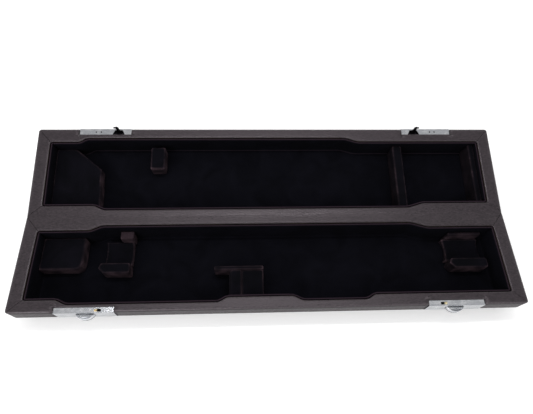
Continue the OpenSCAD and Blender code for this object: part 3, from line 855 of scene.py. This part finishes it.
def lining_section(floor, fillet):
    """The lining's section, from its hidden outer side over the top and down to the floor."""
    top = RIM_Z - LINING_DROP
    inner = LINING_GAP + LINING_T
    fold = [(LINING_GAP, floor - 0.5), (LINING_GAP, top - 0.5), (LINING_GAP + 0.15, top - 0.12),
            (LINING_GAP + 0.55, top + 0.05), (LINING_GAP + 1.05, top - 0.05), (inner, top - 0.55)]
    wall = [(inner + 0.05, floor * q) for q in (0.25, 0.5, 0.75)]
    turns = [math.radians(a) for a in (0, 20, 40, 60, 80, 90)]
    foot = [(inner + fillet * (1 - math.cos(a)), floor + fillet * (1 - math.sin(a))) for a in turns]
    return fold + wall + foot


def lining_loops(half, section):
    """Closed loops of points: the section's, then those that run in to the floor's middle line."""
    floor = -half["floor"]
    loops = []
    for inset, z in section:
        loop = []
        for x, v in ring_points(half, inset):
            uneven = 0.12 * noise.noise(Vector((x * 0.09, v * 0.09, z * 0.12))) if z > floor + 1 else 0
            loop.append((x, v, z + uneven))
        loops.append(loop)
    for inwards in (0.3, 0.75, 1.0):
        loop = []
        for (x, v, _), (rim_x, _) in zip(loops[len(section) - 1], ring_points(half, 0.0)):
            middle_x = max(-FLOOR_LINE, min(FLOOR_LINE, rim_x))
            loop.append((x + (middle_x - x) * inwards, v + (CASE_W / 2 - v) * inwards, floor))
        loops.append(loop)
    return loops


def lining(half_name, fillet, creased):
    half = HALVES[half_name]
    section = lining_section(-half["floor"], fillet)
    loops = lining_loops(half, section)
    count = len(loops[0])
    # the fold at the top and the lid's floor crease are painted paler: rubbed pile and painted sheen
    rubbed_and_sheen_loops = {2: 0.3, 3: 0.7, 4: 0.5, len(section) - 3: creased, len(section) - 2: creased}
    faces = []
    for i in range(len(loops) - 1):
        for k in range(count):
            a, b = i * count + k, i * count + (k + 1) % count
            faces.append((a, a + count, b + count, b))
    faces.append(tuple(range(count))[::-1])
    mesh = bpy.data.meshes.new(f"{half_name}_plush_lining")
    mesh.from_pydata([half["place"](*p) for loop in loops for p in loop], [], faces)
    smooth(mesh)
    add_wear_and_sheen(mesh, [rubbed_and_sheen_loops.get(i, 0.0) for i in range(len(loops)) for _ in range(count)])
    build = bmesh.new()
    build.from_mesh(mesh)
    bmesh.ops.remove_doubles(build, verts=build.verts, dist=WELD)
    bmesh.ops.recalc_face_normals(build, faces=build.faces)
    for face in build.faces:
        face.smooth = len(face.verts) < 5
    build.to_mesh(mesh)
    build.free()
    put_piece(mesh.name, mesh, tray_plush, half_name,
              (f"{half_name}_wall_lining", f"{half_name}_floor_lining"))
    print(mesh.name, "has", len(mesh.polygons), "faces")


lining("base", 1.6, 0.02)
lining("lid", 1.2, 0.3)

# %% [markdown]
# ## Rests, dividers and pads
#
# The blocks that hold the flute are wood or foam wrapped in the same plush, so
# their edges are soft and a little uneven. Sculpting them or draping cloth over
# them would move them off their places. Each starts as a copy of its CAD block
# instead, is remeshed into an even skin, relaxed until the edges round over, and
# brushed with a little noise, and stays exactly where the flute needs it.

# %% Plush-wrapped blocks
VOXEL = 0.8
# painted sheen: block edges (partly rubbed pile) and sides turned to the front or right are painted paler,
# as lit; other sides only a little
EDGE_WEAR_AND_SHEEN = 0.62
LIT_SIDE_SHEEN, SHADED_SIDE_SHEEN = 0.5, 0.08
REAR_REST_RUBBED = 0.28


def block_wear_and_sheen(mesh):
    """Wear and painted sheen of each point: most where it stands proud of its neighbours, painted light on
    walls turned to the front or right, a little on other walls, none on flats.
    """
    build = bmesh.new()
    build.from_mesh(mesh)
    proud = []
    for vertex in build.verts:
        around = [e.other_vert(vertex).co for e in vertex.link_edges]
        middle = sum(around, Vector()) / max(1, len(around))
        spread = sum((p - vertex.co).length for p in around) / max(1, len(around))
        proud.append((vertex.co - middle).dot(vertex.normal) / max(spread, 1e-9))
    build.free()
    wear = []
    for vertex, stands_out in zip(mesh.vertices, proud):
        edge = min(1.0, max(0.0, (stands_out - 0.035) * 5))
        patchy = 0.55 + 0.9 * noise.noise(vertex.co / MM * 0.13)
        # painted light and shade: sides facing the front or the right are painted paler than sides facing
        # left or back
        towards_light = vertex.normal.x > -0.5 and vertex.normal.y < 0.3
        wall = max(0.0, 1 - 1.6 * abs(vertex.normal.z)) * (LIT_SIDE_SHEEN if towards_light else SHADED_SIDE_SHEEN)
        wear.append(min(1.0, max(edge * EDGE_WEAR_AND_SHEEN, wall) * max(0.25, patchy)))
    return wear


def wrapped_block(node, body, relax=7, swell_mm=0.12, rubbed_and_sheen=0.0):
    """A plush-covered copy of a CAD block. rubbed_and_sheen is the least wear and painted sheen anywhere on
    it.
    """
    mesh = frame["nodes"][node].data.copy()
    mesh.name = f"plush_{node}"
    mesh.materials.clear()
    for name in [a.name for a in mesh.attributes if a.name != "position" and not a.is_required]:
        mesh.attributes.remove(mesh.attributes[name])
    piece = put_piece(mesh.name, mesh, block_plush, body, (node,))
    remesh = piece.modifiers.new("even_skin", "REMESH")
    remesh.mode = "VOXEL"
    remesh.voxel_size = VOXEL * MM
    relaxing = piece.modifiers.new("soft_edges", "SMOOTH")
    relaxing.factor = 0.6
    relaxing.iterations = relax
    skin = bpy.data.meshes.new_from_object(piece.evaluated_get(bpy.context.evaluated_depsgraph_get()))
    piece.modifiers.clear()
    piece.data = skin
    skin.name = mesh.name
    wear = [max(w, rubbed_and_sheen) for w in block_wear_and_sheen(skin)]
    for vertex in skin.vertices:
        place = vertex.co / MM
        brushed = noise.noise(place * 0.16) + 0.4 * noise.noise(place * 0.5)
        vertex.co += vertex.normal * (swell_mm + 0.16 * brushed) * MM
    add_wear_and_sheen(skin, wear)
    smooth(skin)
    return piece


for node in ("left_platform", "rest_rear_left", "rest_front_left", "saddle_left", "rest_rear_right",
             "rest_front_right", "saddle_right", "divider_bar", "divider_post_left", "divider_post_right"):
    wrapped_block(node, "base", rubbed_and_sheen=REAR_REST_RUBBED if node == "rest_rear_left" else 0.0)
for node in ("lid_corner_block", "pressure_pad", "cross_bar", "lid_end_pad"):
    pad = wrapped_block(node, "lid", relax=10, swell_mm=0.2)

# %% [markdown]
# ## Latches and catches
#
# The stampings have their true shape in the CAD model. They could be modelled again
# with every edge rounded, but a bevel modifier on the CAD's own mesh does that.
# Stamped edges are never sharp, and a small bevel lets them catch the light. Wood,
# rivets and hooks get their finish in the same way, though little of them shows.


# %% Finish of the metal and wood
def finish_node(node, material, bevel_mm=0.0):
    part = frame["nodes"][node]
    part.data.materials.clear()
    part.data.materials.append(material)
    if bevel_mm:
        bevel = part.modifiers.new("stamped_edge", "BEVEL")
        bevel.width = bevel_mm * MM
        bevel.segments = 2
        bevel.limit_method = "ANGLE"
        bevel.angle_limit = math.radians(40)
        bevel.harden_normals = True


def paint_recess_shade(node, material):
    """Paints the sunk faces round the hook, between the plate and the recess floor, with the dark steel as
    painted shade in the opening.
    """
    part = frame["nodes"][node]
    part.data.materials.append(material)
    for polygon in part.data.polygons:
        y, z = polygon.center.y / MM - HINGE_Y, polygon.center.z / MM - HINGE_Z
        below_rim = z * math.cos(LID_TILT) - y * math.sin(LID_TILT)
        if -4.0 < below_rim < -1.5:
            polygon.material_index = 1


for side in ("left", "right"):
    finish_node(f"latch_housing_{side}", nickel, 0.22)
    finish_node(f"catch_housing_{side}", nickel, 0.22)
    finish_node(f"latch_bolt_{side}", brass, 0.15)
    finish_node(f"hook_{side}", blued_steel, 0.12)
    # painted shade: the housing's sunk faces round the hook take the dark steel
    paint_recess_shade(f"catch_housing_{side}", blued_steel)
for node in ("latch_rivets", "catch_rivets"):
    finish_node(node, blued_steel, 0.1)
wooden = [n for n in frame["nodes"] if n.endswith(("_rail", "_left_end", "_right_end", "_panel"))]
for node in wooden:
    finish_node(node, stained_wood)
print("wooden parts:", wooden)

# %% [markdown]
# The thumb pieces are pressed from sheet, so each has a rolled lip round a shallow
# dish. An inset on the CAD's top face would fold over itself at the D's sharp ends.
# So rings of the D are drawn by formula, an arc in front and a straight back, each
# with its own inset and its own height: "share" is the part of the height below the
# top and "below" is added in millimetres. The neck that enters the latch is cut
# from the CAD block.

# %% Thumb pieces
THUMB_OUT = 4.0
THUMB_RINGS = ((0.4, 1.0, 0.0), (0.0, 1.0, -0.4), (0.0, 0.0, 0.4), (0.12, 0.0, 0.12), (0.4, 0.0, 0.0),
               (0.75, 0.0, 0.0), (0.95, 0.0, 0.2), (1.2, 0.0, 0.6), (1.7, 0.0, 0.75))
ARC_STEPS = 28


def thumb_ring(low, high, inset, share, below):
    """One D-shaped ring, as points in metres."""
    radius = ((high.x - low.x) ** 2 / 4 + THUMB_OUT**2) / (2 * THUMB_OUT)
    to_chord = radius - THUMB_OUT
    spread = math.acos((to_chord + inset) / (radius - inset))
    z = high.z - share * (high.z - low.z) - below
    ring = []
    for k in range(ARC_STEPS + 1):
        turn = spread * (2 * k / ARC_STEPS - 1)
        x = (low.x + high.x) / 2 + (radius - inset) * math.sin(turn)
        y = low.y + THUMB_OUT + to_chord - (radius - inset) * math.cos(turn)
        ring.append((x * MM, y * MM, z * MM))
    return ring


def thumb_piece(side):
    node = f"thumb_slider_{side}"
    low, high = box_mm(node)
    form = bmesh.new()
    form.from_mesh(frame["nodes"][node].data)
    back = (0, (low.y + THUMB_OUT + 0.02) * MM, 0)
    bmesh.ops.bisect_plane(form, geom=form.verts[:] + form.edges[:] + form.faces[:], dist=0.001 * MM,
                           plane_co=back, plane_no=(0, -1, 0), clear_outer=True)
    rings = [[form.verts.new(p) for p in thumb_ring(low, high, *ring)] for ring in THUMB_RINGS]
    count = ARC_STEPS + 1
    for lower, upper in zip(rings, rings[1:]):
        for k in range(count):
            n = (k + 1) % count
            form.faces.new((lower[k], lower[n], upper[n], upper[k]))
    form.faces.new(rings[0][::-1])
    form.faces.new(rings[-1])
    mesh = bpy.data.meshes.new(f"thumb_piece_{side}")
    form.to_mesh(mesh)
    form.free()
    smooth(mesh)
    mesh.set_sharp_from_angle(angle=math.radians(50))
    put_piece(mesh.name, mesh, nickel, f"slider_{side}", (node,))
    print(mesh.name, "is", round(high.x - low.x, 1), "mm wide")


for side in ("left", "right"):
    thumb_piece(side)

# %% [markdown]
# The return springs sit between a bolt and the end of its box. Left as rigid parts
# they would cut into the wood when the bolt moves, and a simulation is more than a
# hidden spring needs. Each is a smooth copy of the CAD spring that rides on the base.


# %% Return springs
def return_spring(side):
    mesh = frame["nodes"][f"bolt_spring_{side}"].data.copy()
    mesh.materials.clear()
    smooth(mesh)
    spring = put_piece(f"return_spring_{side}", mesh, blued_steel, "base",
                       (f"bolt_spring_{side}",))
    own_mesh(spring)


for side in ("left", "right"):
    return_spring(side)

# %% [markdown]
# ## Floor and light
#
# Black plush and leatherette need light that shows their shape without greying
# them. A strong lamp would do the first but not the second, so most of the light is
# an even white surround, darker straight overhead. A soft light above and a little
# behind draws a sheen along the rims, a narrow strip does the same for the hinge,
# and a fill from the front left opens up the walls inside. The floor is matt paper
# with a little glow, so that it blends into the background.

# %% Floor and surround
FLOOR_REACH = 4.0
floor_mesh = bpy.data.meshes.new("studio_floor")
corners = [(sx * FLOOR_REACH, sy * FLOOR_REACH, 0) for sx, sy in ((-1, -1), (1, -1), (1, 1), (-1, 1))]
floor_mesh.from_pydata(corners, [], [(0, 1, 2, 3)])
floor_object = bpy.data.objects.new("studio_floor", floor_mesh)
matt_paper, _, _ = new_material("matt_white_paper",
                                {"Roughness": 0.9, "Base Color": srgb("#fbfbfb"),
                                 "Emission Color": (1, 1, 1, 1), "Emission Strength": 0.2})
floor_mesh.materials.append(matt_paper)
scene.collection.objects.link(floor_object)
floor_object.location.z = -0.5 * MM

world = bpy.data.worlds.new("white_surround")
world.use_nodes = True
sky = world.node_tree
way_up = add_node(sky, "ShaderNodeTexCoord")
height = add_node(sky, "ShaderNodeSeparateXYZ", links={"Vector": way_up.outputs["Generated"]})
room = add_node(sky, "ShaderNodeValToRGB",
                {"stops": [(0.0, (1, 1, 1, 1)), (0.80, (0.95, 0.95, 0.95, 1)), (0.90, (0.75, 0.75, 0.76, 1)),
                           (0.985, (0.2, 0.2, 0.21, 1))]},
                {"Fac": height.outputs["Z"]})
sky.links.new(room.outputs["Color"], sky.nodes["Background"].inputs["Color"])
sky.nodes["Background"].inputs["Strength"].default_value = 0.86
scene.world = world
print("floor and surround:", floor_object.name, world.name)

# %% [markdown]
# Each lamp is a flat panel, given by its place, the point it looks at, its length
# and breadth in metres, and its power in watts. Sun lamps would be simpler, but
# their hard reflections would show as dots on the nickel.


# %% Lights
def soft_light(name, place, aim, size, power):
    data = bpy.data.lights.new(name, "AREA")
    data.shape = "RECTANGLE"
    data.size, data.size_y = size
    data.energy = power
    light = bpy.data.objects.new(name, data)
    light.location = place
    light.rotation_euler = (Vector(aim) - Vector(place)).to_track_quat("-Z", "Y").to_euler()
    scene.collection.objects.link(light)


soft_light("overhead_softbox", (0.05, 0.30, 1.25), (0.0, 0.05, 0.0), (0.5, 0.7), 1.6)
soft_light("hinge_strip_light", (-0.02, 0.095, 0.46), (-0.02, 0.05, 0.03), (0.44, 0.03), 0.78)
soft_light("front_fill", (-0.6, -0.9, 0.8), (0.0, 0.0, 0.0), (0.8, 0.8), 6.5)
scene.view_settings.view_transform = "Standard"
